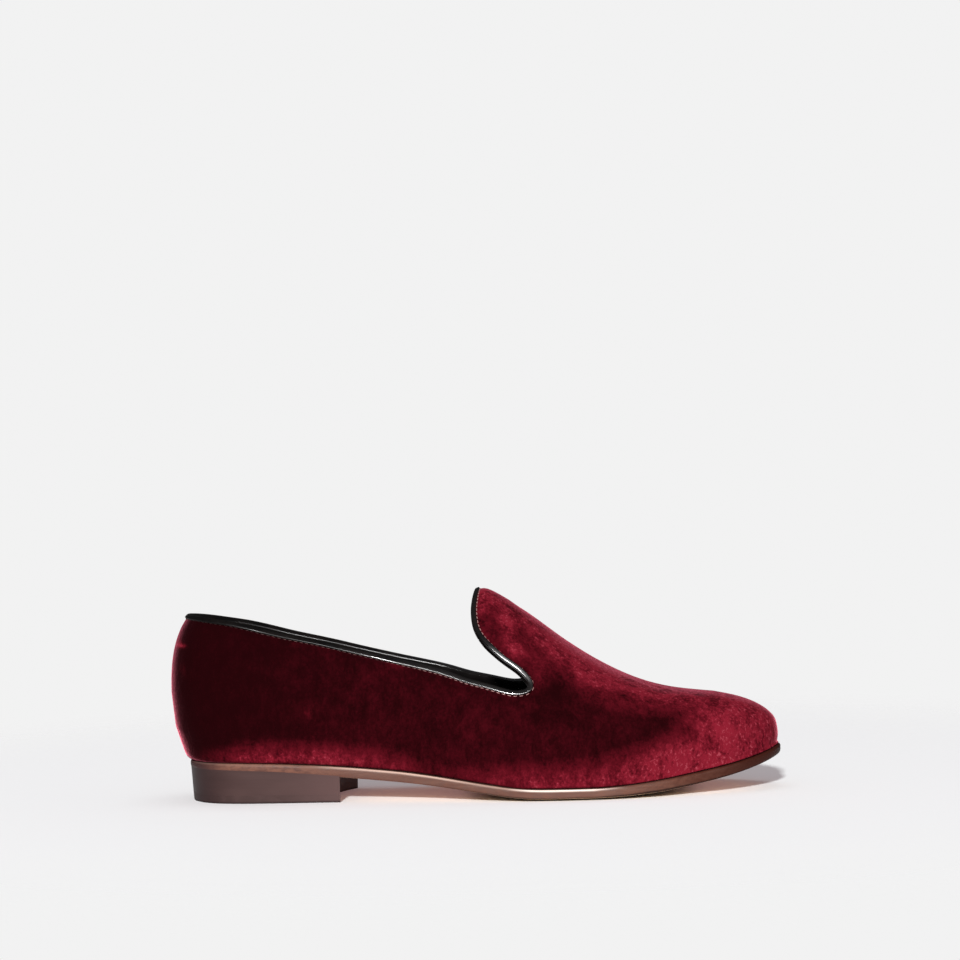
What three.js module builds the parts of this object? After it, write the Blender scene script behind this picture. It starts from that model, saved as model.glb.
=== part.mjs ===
// A velvet slip-on loafer with a raised tongue, for the right foot.
// Millimetres. +X points to the toe, +Y to the inner side of the foot, +Z up, and the floor is z = 0.
// Sizes along the shoe are counted from the rearmost point of the heel curve, and the last lines of
// this file move the whole shoe so that its origin is on the floor, in the middle of the heel.

import * as THREE from "three";

// Driving dimensions
const WALL = 2.0; // velvet, backing and lining together
const GAP = 0.3; // what is left between pieces that are glued on the real shoe
const HEEL_PIVOT_X = 32; // behind this the sections fan out round the heel
const TOE_PIVOT_X = 216; // in front of this they fan out round the toe
const LASTING_MARGIN = 7; // how far the upper is turned in under the foot
const INSOLE_THICKNESS = 2.6;
const HEEL_REST_X = 42; // the middle of the heel's floor face, which becomes the origin

// One row for each section of the last, from the back of the heel round to the tip of the toe.
// seam: where the upper meets the sole. bulge: the widest line of the upper, at height bulgeZ.
// outer and inner are half widths on the outer and inner side of the foot.
// fullness: 2 is an ellipse, more is boxier and less is more like a ridge.
// edgeOuter and edgeInner: how far the sole stands out past the seam.
const SECTIONS = [
  { seamX: 7.8, seamOuter: 0, seamInner: 0, bulgeX: 0.3, bulgeOuter: 0, bulgeInner: 0, bulgeZ: 45, fullness: 2.6, edgeOuter: 0.15, edgeInner: 0.15 },
  { seamX: 11.1, seamOuter: 13.4, seamInner: 13.2, bulgeX: 4.7, bulgeOuter: 15.8, bulgeInner: 15.6, bulgeZ: 44, fullness: 2.5, edgeOuter: 0.3, edgeInner: 0.3 },
  { seamX: 19.4, seamOuter: 22.4, seamInner: 22.0, bulgeX: 15.8, bulgeOuter: 27.0, bulgeInner: 26.6, bulgeZ: 42, fullness: 2.35, edgeOuter: 0.6, edgeInner: 0.6 },
  { seamX: 32, seamOuter: 26.2, seamInner: 25.6, bulgeX: 32, bulgeOuter: 31.2, bulgeInner: 30.4, bulgeZ: 39, fullness: 2.2, edgeOuter: 1.0, edgeInner: 0.9 },
  { seamX: 50, seamOuter: 26.9, seamInner: 25.4, bulgeX: 50, bulgeOuter: 31.6, bulgeInner: 30.2, bulgeZ: 35, fullness: 2.1, edgeOuter: 1.6, edgeInner: 1.2 },
  { seamX: 70, seamOuter: 27.0, seamInner: 23.4, bulgeX: 70, bulgeOuter: 31.2, bulgeInner: 28.8, bulgeZ: 31, fullness: 2.05, edgeOuter: 2.2, edgeInner: 1.5 },
  { seamX: 90, seamOuter: 28.4, seamInner: 20.8, bulgeX: 90, bulgeOuter: 31.4, bulgeInner: 27.6, bulgeZ: 28, fullness: 1.95, edgeOuter: 2.7, edgeInner: 1.8 },
  { seamX: 110, seamOuter: 31.6, seamInner: 21.4, bulgeX: 110, bulgeOuter: 33.8, bulgeInner: 28.2, bulgeZ: 25, fullness: 1.88, edgeOuter: 2.8, edgeInner: 2.0 },
  { seamX: 130, seamOuter: 35.8, seamInner: 26.6, bulgeX: 130, bulgeOuter: 37.6, bulgeInner: 31.2, bulgeZ: 22, fullness: 1.82, edgeOuter: 2.8, edgeInner: 2.1 },
  { seamX: 150, seamOuter: 39.4, seamInner: 33.0, bulgeX: 150, bulgeOuter: 41.2, bulgeInner: 35.8, bulgeZ: 19, fullness: 1.82, edgeOuter: 2.7, edgeInner: 2.2 },
  { seamX: 168, seamOuter: 40.4, seamInner: 36.4, bulgeX: 168, bulgeOuter: 42.2, bulgeInner: 38.6, bulgeZ: 17.5, fullness: 1.88, edgeOuter: 2.5, edgeInner: 2.2 },
  { seamX: 185, seamOuter: 38.9, seamInner: 36.6, bulgeX: 185, bulgeOuter: 40.6, bulgeInner: 38.6, bulgeZ: 17.5, fullness: 2.0, edgeOuter: 2.4, edgeInner: 2.2 },
  { seamX: 201, seamOuter: 35.0, seamInner: 34.5, bulgeX: 201, bulgeOuter: 36.5, bulgeInner: 36.2, bulgeZ: 18, fullness: 2.15, edgeOuter: 2.3, edgeInner: 2.2 },
  { seamX: 216, seamOuter: 29.8, seamInner: 30.8, bulgeX: 216, bulgeOuter: 31.1, bulgeInner: 32.2, bulgeZ: 19, fullness: 2.25, edgeOuter: 2.2, edgeInner: 2.2 },
  { seamX: 235.2, seamOuter: 23.2, seamInner: 24.8, bulgeX: 235.8, bulgeOuter: 24.1, bulgeInner: 25.8, bulgeZ: 20.5, fullness: 2.35, edgeOuter: 2.0, edgeInner: 2.0 },
  { seamX: 249.4, seamOuter: 12.6, seamInner: 13.8, bulgeX: 249.7, bulgeOuter: 13.0, bulgeInner: 14.2, bulgeZ: 22, fullness: 2.45, edgeOuter: 1.7, edgeInner: 1.7 },
  { seamX: 254.5, seamOuter: 0, seamInner: 0, bulgeX: 254.9, bulgeOuter: 0, bulgeInner: 0, bulgeZ: 23, fullness: 2.5, edgeOuter: 1.4, edgeInner: 1.4 },
];

// The crown: the height of the last's highest line. Behind the tongue it is the last itself, above the
// opening. Past the toe's pivot it is the line that the toe's rounding falls away from.
const CROWN = [
  { x: 0, z: 85.4 }, { x: 14, z: 87.0 }, { x: 34, z: 90 }, { x: 60, z: 87 }, { x: 100, z: 86 }, { x: 124, z: 84.2 }, { x: 130.2, z: 84.8 },
  { x: 134.7, z: 85.5 }, { x: 139.7, z: 82.8 }, { x: 149.7, z: 76.0 }, { x: 159.7, z: 68.5 }, { x: 169.6, z: 61.0 },
  { x: 179.7, z: 54.6 }, { x: 189.7, z: 49.25 }, { x: 199.8, z: 45.1 }, { x: 209.8, z: 42.4 }, { x: 220, z: 41.0 },
  { x: 232, z: 40.3 }, { x: 257, z: 38.1 },
];

// The side step of the highest line, towards the inner side of the foot
const SPINE = [
  { x: 0, y: 0 }, { x: 70, y: 0 }, { x: 130, y: 1.2 }, { x: 165, y: 2.6 }, { x: 195, y: 2.2 }, { x: 216, y: 1 }, { x: 257, y: 0 },
];

// The outsole from the side: heel seat, arch, the flat that meets the floor, and the toe spring.
// rocker: how much higher the underside is at the sole's edge than in its middle.
const SOLE = [
  { x: -2, top: 17.0, bottom: 13.6, rocker: 0.1 }, { x: 20, top: 16.8, bottom: 13.4, rocker: 0.1 },
  { x: 40, top: 16.4, bottom: 12.8, rocker: 0.1 }, { x: 60, top: 15.5, bottom: 11.3, rocker: 0.2 },
  { x: 80, top: 14.0, bottom: 9.4, rocker: 0.3 }, { x: 97, top: 12.4, bottom: 7.7, rocker: 0.4 },
  { x: 110, top: 10.7, bottom: 6.1, rocker: 0.5 }, { x: 123, top: 8.6, bottom: 4.1, rocker: 0.6 },
  { x: 136, top: 6.5, bottom: 1.9, rocker: 0.8 }, { x: 144, top: 5.45, bottom: 0.75, rocker: 0.9 },
  { x: 151, top: 4.95, bottom: 0.15, rocker: 1.0 }, { x: 158, top: 4.8, bottom: 0, rocker: 1.1 },
  { x: 177, top: 4.8, bottom: 0, rocker: 1.1 },
  { x: 192, top: 5.6, bottom: 0.5, rocker: 1.0 }, { x: 205, top: 7.0, bottom: 1.6, rocker: 0.9 },
  { x: 222, top: 9.7, bottom: 4.3, rocker: 0.8 }, { x: 235, top: 12.2, bottom: 7.1, rocker: 0.7 },
  { x: 246, top: 14.9, bottom: 10.2, rocker: 0.6 }, { x: 258, top: 18.8, bottom: 14.7, rocker: 0.4 },
];

// The upper's edge from the side, from the back of the heel to the notch and up the tongue to its tip.
// drop: how much lower the edge is on the inner side of the foot.
// foot: the section, as a row number of SECTIONS, at which the line down from that point meets the sole.
const TOPLINE = [
  { x: 8.6, z: 76.7, drop: 0, foot: 0 },
  { x: 14, z: 76.3, drop: 0.8, foot: 1.27 },
  { x: 25, z: 74.8, drop: 1.5, foot: 2.48 },
  { x: 41, z: 71.1, drop: 1.4, foot: 3.45 },
  { x: 59, z: 66.8, drop: 1.6, foot: 4.4 },
  { x: 78, z: 62.2, drop: 1.7, foot: 5.4 },
  { x: 98, z: 57.2, drop: 1.6, foot: 6.4 },
  { x: 117, z: 52.3, drop: 1.4, foot: 7.4 },
  { x: 133, z: 47.3, drop: 1.0, foot: 8.35 },
  { x: 144, z: 44.2, drop: 0.4, foot: 9.15 },
  { x: 150.6, z: 44.9, drop: 0, foot: 10.05 },
  { x: 151.6, z: 48.1, drop: 0, foot: 11.2 },
  { x: 147.4, z: 53.1, drop: 0, foot: 12.4 },
  { x: 140.7, z: 58.0, drop: 0, foot: 13.35 },
  { x: 134.4, z: 63.8, drop: 0, foot: 14.05 },
  { x: 130.0, z: 69.8, drop: 0, foot: 14.65 },
  { x: 128.8, z: 76.6, drop: 0, foot: 15.2 },
  { x: 129.3, z: 81.8, drop: 0, foot: 15.6 },
  { x: 130.2, z: 84.8, drop: 0, foot: 16 },
];

// Binding: a strip of leather folded over the topline
const BINDING = { thickness: 0.8, outside: 1.0, inside: 2.4 };

// Heel: the block under the heel seat, with a curved breast at the front, and the top piece below it
const HEEL = {
  breastOuter: 5.12, // the section, as a row number, where the outer side of the breast is
  breastInner: 5.31,
  breastHollow: 6.5, // how far the breast curves in towards the heel
  taper: 1.0, // how much narrower the block is at the floor
  topPiece: 3.4,
};

// Fineness of the meshes
const STEPS_PER_TOPLINE_ROW = 2;
const STEPS_PER_SECTION = 3;
const RISE_STEPS = 14; // rows of the upper from its widest line to the topline
const RIM_BAND = 4.5; // the last of those rows is this far down from the topline
const TUCK_STEPS = 3; // rows from the sole seam to the widest line

// Smooth curves through the tables

// A curve through a table's points that never rises above or dips below its neighbours
function through(table, key) {
  const xs = table.map((row) => row.x);
  const ys = table.map((row) => row[key]);
  const chords = xs.slice(1).map((x, i) => (ys[i + 1] - ys[i]) / (x - xs[i]));
  const slopes = xs.map((_, i) => {
    if (i === 0) return chords[0];
    if (i === xs.length - 1) return chords[i - 1];
    const [before, after] = [chords[i - 1], chords[i]];
    return before * after <= 0 ? 0 : (2 * before * after) / (before + after);
  });
  return (x) => {
    let i = 0;
    while (i < xs.length - 2 && x > xs[i + 1]) i += 1;
    const width = xs[i + 1] - xs[i];
    const s = THREE.MathUtils.clamp((x - xs[i]) / width, 0, 1);
    const [s2, s3] = [s * s, s * s * s];
    return (
      (2 * s3 - 3 * s2 + 1) * ys[i] +
      (s3 - 2 * s2 + s) * width * slopes[i] +
      (3 * s2 - 2 * s3) * ys[i + 1] +
      (s3 - s2) * width * slopes[i + 1]
    );
  };
}

const crown = through(CROWN, "z");
const spineY = through(SPINE, "y");
const soleTop = through(SOLE, "top");
const soleBottom = through(SOLE, "bottom");
const soleRocker = through(SOLE, "rocker");

const TOE_ROW = SECTIONS.length - 1;
const ROUND = 2 * TOE_ROW; // rows once round the shoe: out along the outer side, back along the inner

// A closed curve once round the shoe, through one point for each row on each side
function roundTheShoe(outerPoint, innerPoint) {
  const points = [];
  for (let i = 0; i < ROUND; i += 1) {
    points.push(i <= TOE_ROW ? outerPoint(SECTIONS[i]) : innerPoint(SECTIONS[ROUND - i]));
  }
  const curve = new THREE.CatmullRomCurve3(points, true, "catmullrom", 0.5);
  return (t) => curve.getPoint(THREE.MathUtils.euclideanModulo(t, ROUND) / ROUND);
}

const seamLine = roundTheShoe(
  (s) => new THREE.Vector3(s.seamX, -s.seamOuter, 0),
  (s) => new THREE.Vector3(s.seamX, s.seamInner, 0),
);
const bulgeLine = roundTheShoe(
  (s) => new THREE.Vector3(s.bulgeX, -s.bulgeOuter, s.bulgeZ),
  (s) => new THREE.Vector3(s.bulgeX, s.bulgeInner, s.bulgeZ),
);
const shapeLine = roundTheShoe(
  (s) => new THREE.Vector3(s.fullness, s.edgeOuter, 0),
  (s) => new THREE.Vector3(s.fullness, s.edgeInner, 0),
);

// The level direction that points out of the shoe, square to an outline at row t
function outward(line, t) {
  const step = 0.02;
  const along = line(t + step).sub(line(t - step));
  return new THREE.Vector3(along.y, -along.x, 0).normalize();
}

// The last

// The point that section t turns about: on the spine, or at a pivot in the heel and toe
function pivot(t) {
  const x = THREE.MathUtils.clamp(bulgeLine(t).x, HEEL_PIVOT_X, TOE_PIVOT_X);
  return new THREE.Vector3(x, spineY(x), 0);
}

// The point of the last in section t, at share rho of the way from the pivot out to the bulge
function lastPoint(t, rho) {
  const widest = bulgeLine(t);
  const centre = pivot(t);
  const fullness = shapeLine(t).x;
  const x = THREE.MathUtils.lerp(centre.x, widest.x, rho);
  const y = THREE.MathUtils.lerp(centre.y, widest.y, rho);
  const rise = (1 - Math.min(rho, 1) ** fullness) ** (1 / fullness);
  return new THREE.Vector3(x, y, widest.z + (crown(x) - widest.z) * rise);
}

// Halves an interval until f, which is above zero at low and below it at high, crosses zero
function solve(f, low, high) {
  const halvings = 45;
  for (let i = 0; i < halvings; i += 1) {
    const middle = (low + high) / 2;
    if (f(middle) > 0) low = middle;
    else high = middle;
  }
  return (low + high) / 2;
}

// The point of the last above or below a point of the plan
function onLast(x, y) {
  const level = THREE.MathUtils.clamp(x, HEEL_PIVOT_X, TOE_PIVOT_X);
  const outerSide = y < spineY(level);
  const side = outerSide ? 1 : -1;
  const turned = (t) => {
    const centre = pivot(t);
    const ray = bulgeLine(t).sub(centre);
    return side * (ray.x * (y - centre.y) - ray.y * (x - centre.x));
  };
  const along = solve((s) => turned(outerSide ? s : ROUND - s), 0, TOE_ROW);
  const t = outerSide ? along : ROUND - along;
  const centre = pivot(t);
  const widest = bulgeLine(t);
  const reach = Math.hypot(widest.x - centre.x, widest.y - centre.y);
  return lastPoint(t, Math.hypot(x - centre.x, y - centre.y) / reach);
}

// The topline

// A point of the last in section t at height z, as its share rho of the way out
function shareAtHeight(t, z) {
  return solve((rho) => lastPoint(t, rho).z - z, 0, 1);
}

// The section in which the last has height z at distance x along one side
function sectionAt(x, z, innerSide) {
  const row = (t) => (innerSide ? ROUND - t : t);
  return solve((t) => x - lastPoint(row(t), shareAtHeight(row(t), z)).x, 0, TOE_ROW);
}

// Each row of the topline as an angle up its section, where no row is too steep or flat to blend
function angleOf(rho, fullness) {
  return Math.acos(rho ** (fullness / 2));
}

const TIP_ROW = TOPLINE.length - 1;

// One side of the topline as a curve of section, angle and foot
function toplineCurve(innerSide) {
  const rows = TOPLINE.map(({ x, z, drop, foot }, i) => {
    const height = z - (innerSide ? drop : 0) - (i === TIP_ROW ? 1 : 0);
    const t = i === 0 ? 0 : sectionAt(x, height, innerSide);
    const rho = i === TIP_ROW ? 0 : shareAtHeight(innerSide ? ROUND - t : t, height);
    return new THREE.Vector3(t, angleOf(rho, shapeLine(t).x), foot);
  });
  const beforeHeel = new THREE.Vector3(-rows[1].x, rows[1].y, -rows[1].z);
  const { x: t, y: angle, z: foot } = rows[TIP_ROW - 1];
  const pastTip = new THREE.Vector3(t, Math.PI - angle, ROUND - foot);
  return new THREE.CatmullRomCurve3([beforeHeel, ...rows, pastTip], false, "catmullrom", 0.5);
}

const toplineOuter = toplineCurve(false);
const toplineInner = toplineCurve(true);

// The topline at u rows from the back of the heel: its point of the last, and the row it stands over
function toplineAt(u) {
  const innerSide = u > TIP_ROW;
  const rows = innerSide ? 2 * TIP_ROW - u : u;
  const curve = innerSide ? toplineInner : toplineOuter;
  const { x: t, y: angle, z: foot } = curve.getPoint((rows + 1) / (TIP_ROW + 2));
  const side = (row) => (innerSide ? ROUND - row : row);
  const rho = Math.max(Math.cos(angle), 0) ** (2 / shapeLine(t).x);
  return { point: lastPoint(side(t), rho), foot: side(foot) };
}

// Meshes from rings of points

// Collects triangles and makes one closed mesh of them
class Skin {
  constructor() {
    this.corners = [];
  }
  triangle(a, b, c) {
    for (const p of [a, b, c]) this.corners.push(p.x, p.y, p.z);
  }
  quad(a, b, c, d) {
    this.triangle(a, b, c);
    this.triangle(a, c, d);
  }
  // The band between two closed rings. Bands that lie on each other are split along one diagonal,
  // which takes otherDiagonal where the rings are given from the top down.
  band(from, to, otherDiagonal = false) {
    from.forEach((point, i) => {
      const next = (i + 1) % from.length;
      if (otherDiagonal) this.quad(from[next], to[next], to[i], point);
      else this.quad(point, from[next], to[next], to[i]);
    });
  }
  mesh(name, look) {
    const geometry = new THREE.BufferGeometry();
    geometry.setAttribute("position", new THREE.Float32BufferAttribute(this.corners, 3));
    geometry.computeVertexNormals();
    const mesh = new THREE.Mesh(geometry, new THREE.MeshStandardMaterial(look));
    mesh.name = name;
    return mesh;
  }
}

// A plate whose rings run round the shoe: from the ring at its top edge, down its side, to its bottom
function plate(rings) {
  const skin = new Skin();
  const half = rings[0].length / 2;
  const cap = (ring, faceUp) => {
    for (let i = 0; i < half; i += 1) {
      const across = (2 * half - i) % (2 * half);
      const corners = [ring[i], ring[i + 1], ring[across - 1 < 0 ? 2 * half - 1 : across - 1], ring[across]];
      if (!faceUp) corners.reverse();
      const [a, b, c, d] = corners;
      if (i === 0) faceUp ? skin.triangle(a, b, c) : skin.triangle(b, c, d);
      else if (i === half - 1) faceUp ? skin.triangle(a, b, d) : skin.triangle(a, c, d);
      else skin.quad(a, b, c, d);
    }
  };
  cap(rings[0], true);
  for (let i = 1; i < rings.length; i += 1) skin.band(rings[i], rings[i - 1]);
  cap(rings[rings.length - 1], false);
  return skin;
}

// A block between two grids of points that have the same rows and columns
function block(top, bottom) {
  const skin = new Skin();
  const rows = top.length - 1;
  const columns = top[0].length - 1;
  for (let r = 0; r < rows; r += 1) {
    for (let c = 0; c < columns; c += 1) {
      skin.quad(top[r][c], top[r + 1][c], top[r + 1][c + 1], top[r][c + 1]);
      skin.quad(bottom[r][c], bottom[r][c + 1], bottom[r + 1][c + 1], bottom[r + 1][c]);
    }
  }
  const rim = (grid) => [
    ...grid.map((row) => row[0]),
    ...grid[rows].slice(1, columns),
    ...grid.map((row) => row[columns]).reverse(),
    ...grid[0].slice(1, columns).reverse(),
  ];
  skin.band(rim(bottom), rim(top));
  return skin;
}

// The upper

// Points along a line from its first to its last, closer together where the line bends. The last but
// one is a set distance from the end.
function spread(line, steps, endStep) {
  const lengths = line.slice(1).map((point, i) => point.distanceTo(line[i]));
  const total = lengths.reduce((sum, length) => sum + length, 0);
  const bends = lengths.map((_, i) => {
    if (i === 0) return 0;
    const before = line[i].clone().sub(line[i - 1]);
    return before.angleTo(line[i + 1].clone().sub(line[i]));
  });
  const bent = bends.reduce((sum, bend) => sum + bend, 0);
  const distance = [0];
  const measure = [0];
  lengths.forEach((length, i) => {
    distance.push(distance[i] + length);
    measure.push(measure[i] + length / total + (0.8 * bends[i]) / bent);
  });
  const at = (scale, value) => {
    let i = 0;
    while (i < line.length - 2 && scale[i + 1] < value) i += 1;
    const share = (value - scale[i]) / (scale[i + 1] - scale[i]);
    return { i, share };
  };
  const pick = ({ i, share }) => line[i].clone().lerp(line[i + 1], share);
  const valueAt = ({ i, share }) => THREE.MathUtils.lerp(measure[i], measure[i + 1], share);
  const end = at(distance, total - endStep);
  const points = [];
  for (let j = 1; j < steps; j += 1) points.push(pick(at(measure, (valueAt(end) * j) / (steps - 1))));
  points.push(line[line.length - 1]);
  return points;
}

// Rows of points on the upper's outer face, from the turned-in margin up to the topline, and the
// matching rows of its inner face
function upperLines() {
  const count = 2 * TIP_ROW * STEPS_PER_TOPLINE_ROW;
  const outer = [];
  const inner = [];
  const tuck = (t, inset, lift, share) => {
    const out = outward(seamLine, t);
    const seam = seamLine(t).addScaledVector(out, -inset);
    seam.z = soleTop(seam.x) + GAP + lift;
    const widest = bulgeLine(t).addScaledVector(outward(bulgeLine, t), -inset);
    const turn = (share * Math.PI) / 2;
    const hollow = 1.45; // above 1, the wall leaves the sole more steeply than an ellipse
    const point = seam.clone().lerp(widest, Math.sin(turn) ** hollow);
    point.z = widest.z - (widest.z - seam.z) * Math.cos(turn);
    return point;
  };
  const margin = (t, lift) => {
    const point = seamLine(t).addScaledVector(outward(seamLine, t), -LASTING_MARGIN);
    point.z = soleTop(point.x) + GAP + lift;
    return point;
  };
  const samples = 60;
  for (let i = 0; i < count; i += 1) {
    const { point: top, foot } = toplineAt(i / STEPS_PER_TOPLINE_ROW);
    const widest = bulgeLine(foot);
    const line = [margin(foot, 0)];
    const lining = [margin(foot, WALL)];
    for (let j = 0; j <= TUCK_STEPS; j += 1) {
      line.push(tuck(foot, 0, 0, j / TUCK_STEPS));
      lining.push(tuck(foot, WALL, WALL, j / TUCK_STEPS));
    }
    const wall = [widest];
    for (let j = 1; j < samples; j += 1) {
      const share = (j / samples) ** 2;
      wall.push(onLast(
        THREE.MathUtils.lerp(widest.x, top.x, share),
        THREE.MathUtils.lerp(widest.y, top.y, share),
      ));
    }
    wall.push(top);
    line.push(...spread(wall, RISE_STEPS, RIM_BAND));
    outer.push(line);
    inner.push(lining);
  }
  return { outer, inner };
}

// The direction out of the upper's face at one of its points, from the points round it
function faceNormal(lines, i, j) {
  const count = lines.length;
  const last = lines[0].length - 1;
  const along = lines[(i + 1) % count][j].clone().sub(lines[(i + count - 1) % count][j]);
  const up = lines[i][Math.min(j + 1, last)].clone().sub(lines[i][j - 1]);
  return along.cross(up).normalize();
}

const { outer: outerLines, inner: innerLines } = upperLines();
const widestRow = 1 + TUCK_STEPS;
const topRow = widestRow + RISE_STEPS;
outerLines.forEach((line, i) => {
  for (let j = widestRow + 1; j <= topRow; j += 1) {
    innerLines[i].push(line[j].clone().addScaledVector(faceNormal(outerLines, i, j), -WALL));
  }
});
const ringAt = (lines, j) => lines.map((line) => line[j]);

function upper() {
  const skin = new Skin();
  for (let j = 0; j < topRow; j += 1) {
    skin.band(ringAt(outerLines, j), ringAt(outerLines, j + 1));
    skin.band(ringAt(innerLines, j + 1), ringAt(innerLines, j), true);
  }
  skin.band(ringAt(outerLines, topRow), ringAt(innerLines, topRow));
  skin.band(ringAt(innerLines, 0), ringAt(outerLines, 0));
  return skin.mesh("upper", { color: 0x5e0f1e, roughness: 0.85, metalness: 0 });
}

// The directions at the topline's point i: out of the wall's face, and down the face square to the rim
function rimFrame(i) {
  const count = outerLines.length;
  const rim = outerLines[i][topRow];
  const along = outerLines[(i + 1) % count][topRow].clone().sub(outerLines[(i + count - 1) % count][topRow]);
  const out = faceNormal(outerLines, i, topRow);
  const down = out.clone().cross(along).normalize();
  if (down.dot(outerLines[i][topRow - 1].clone().sub(rim)) < 0) down.negate();
  return { rim, out, down };
}

// The binding: its section goes round the rim, from its lower edge outside to its lower edge inside
function binding() {
  const { thickness, outside, inside } = BINDING;
  const face = GAP + thickness;
  const round = 0.45 * face; // how much the two corners of the fold are rounded off
  const section = [
    { out: face, down: outside },
    { out: face + 0.12, down: 0.5 * outside },
    { out: face, down: 0 },
    { out: face - round, down: -face + 0.3 * round },
    { out: -WALL / 2, down: -face - 0.15 },
    { out: -WALL - face + round, down: -face + 0.3 * round },
    { out: -WALL - face, down: 0 },
    { out: -WALL - face, down: inside },
    { out: -WALL - GAP, down: inside },
    { out: -WALL - GAP, down: -GAP },
    { out: GAP, down: -GAP },
    { out: GAP, down: outside },
  ];
  const frames = outerLines.map((_, i) => rimFrame(i));
  const rings = section.map((corner) => frames.map(({ rim, out, down }) => {
    return rim.clone().addScaledVector(out, corner.out).addScaledVector(down, corner.down);
  }));
  const skin = new Skin();
  rings.forEach((ring, k) => {
    const next = (k + 1) % rings.length;
    skin.band(ring, rings[next], section[next].down > section[k].down);
  });
  return skin.mesh("binding", { color: 0x14100f, roughness: 0.3, metalness: 0 });
}

// The outsole: a slim leather sole whose edge is flat, with a rounded top corner and a tighter lower one
function outsole() {
  const profile = [
    { in: 1.6, drop: 0 },
    { in: 0.8, drop: 0.08 },
    { in: 0.3, drop: 0.4 },
    { in: 0.05, drop: 1.0 },
    { in: 0, drop: 1.8 },
    { in: 0.05, lift: 0.75, rocker: 1 },
    { in: 0.35, lift: 0.2, rocker: 1 },
    { in: 1.1, lift: 0, rocker: 0.95 },
    { in: 6, lift: 0, rocker: 0.3 },
    { in: 11, lift: 0, rocker: 0 },
  ];
  const count = ROUND * STEPS_PER_SECTION;
  const rings = profile.map(({ in: inset, drop, lift, rocker }) => {
    const ring = [];
    for (let i = 0; i < count; i += 1) {
      const t = i / STEPS_PER_SECTION;
      const point = seamLine(t).addScaledVector(outward(seamLine, t), shapeLine(t).y - inset);
      const under = soleBottom(point.x) + lift + rocker * soleRocker(point.x);
      point.z = lift === undefined ? soleTop(point.x) - drop : under;
      ring.push(point);
    }
    return ring;
  });
  return plate(rings).mesh("outsole", { color: 0x7a5142, roughness: 0.5, metalness: 0 });
}

// The insole lies on the turned-in margin and fills the well inside it
function insole() {
  const side = WALL + GAP + 0.2;
  const well = LASTING_MARGIN + GAP + 0.2;
  const floor = GAP + WALL + GAP;
  const profile = [
    { in: side + 0.8, up: floor + INSOLE_THICKNESS },
    { in: side + 0.1, up: floor + INSOLE_THICKNESS - 0.5 },
    { in: side, up: floor + 0.4 },
    { in: side + 0.6, up: floor },
    { in: well, up: floor },
    { in: well, up: GAP },
  ];
  const count = ROUND * STEPS_PER_SECTION;
  const rings = profile.map(({ in: inset, up }) => {
    const ring = [];
    for (let i = 0; i < count; i += 1) {
      const t = i / STEPS_PER_SECTION;
      const point = seamLine(t).addScaledVector(outward(seamLine, t), -inset);
      point.z = soleTop(point.x) + up;
      ring.push(point);
    }
    return ring;
  });
  return plate(rings).mesh("insole", { color: 0x2a1c18, roughness: 0.6, metalness: 0 });
}

// Points of a level slice of the heel: rows from its back to its breast, columns across it
function heelSlice(inset, height) {
  const rows = 14;
  const columns = 8;
  const startRow = 0.07; // a hair past the middle of the back, so that the first row has a width
  const edge = (t) => seamLine(t).addScaledVector(outward(seamLine, t), shapeLine(t).y - inset);
  const grid = [];
  for (let r = 0; r <= rows; r += 1) {
    const share = r / rows;
    const outer = edge(THREE.MathUtils.lerp(startRow, HEEL.breastOuter, share));
    const inner = edge(ROUND - THREE.MathUtils.lerp(startRow, HEEL.breastInner, share));
    const line = [];
    for (let c = 0; c <= columns; c += 1) {
      const across = c / columns;
      const point = outer.clone().lerp(inner, across);
      point.x -= HEEL.breastHollow * share ** 3 * 4 * across * (1 - across);
      point.z = height(point.x);
      line.push(point);
    }
    grid.push(line);
  }
  return grid;
}

function heelBlock() {
  const taperAt = (z) => HEEL.taper * (1 - z / soleBottom(0));
  const foot = HEEL.topPiece + GAP;
  return block(
    heelSlice(0.1, (x) => soleBottom(x) - GAP),
    heelSlice(0.1 + taperAt(foot), () => foot),
  ).mesh("heel", { color: 0x5b4843, roughness: 0.45, metalness: 0 });
}

function heelTopPiece() {
  const taperAt = (z) => HEEL.taper * (1 - z / soleBottom(0));
  return block(
    heelSlice(0.1 + taperAt(HEEL.topPiece), () => HEEL.topPiece),
    heelSlice(0.1 + taperAt(0), () => 0),
  ).mesh("heel_top_piece", { color: 0x4c3b37, roughness: 0.6, metalness: 0 });
}

const shoe = new THREE.Group();
shoe.add(upper(), binding(), insole(), outsole(), heelBlock(), heelTopPiece());
shoe.position.x = -HEEL_REST_X;

export default shoe;
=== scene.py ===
# %% [markdown]
# # A velvet loafer, dressed in Blender
#
# The shoe's solids are already made: a hollow upper, a leather binding round its opening, an insole,
# an outsole and a stacked heel. This lesson loads them as a fixed frame and then gives each one the
# surface of the real thing. We work in metres: +X is the toe, +Y the inner side of the foot, +Z up.

# %% Load the shoe
import math
import random

import bmesh
import bpy
from mathutils import Matrix, Quaternion, Vector
from mathutils.bvhtree import BVHTree


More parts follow.
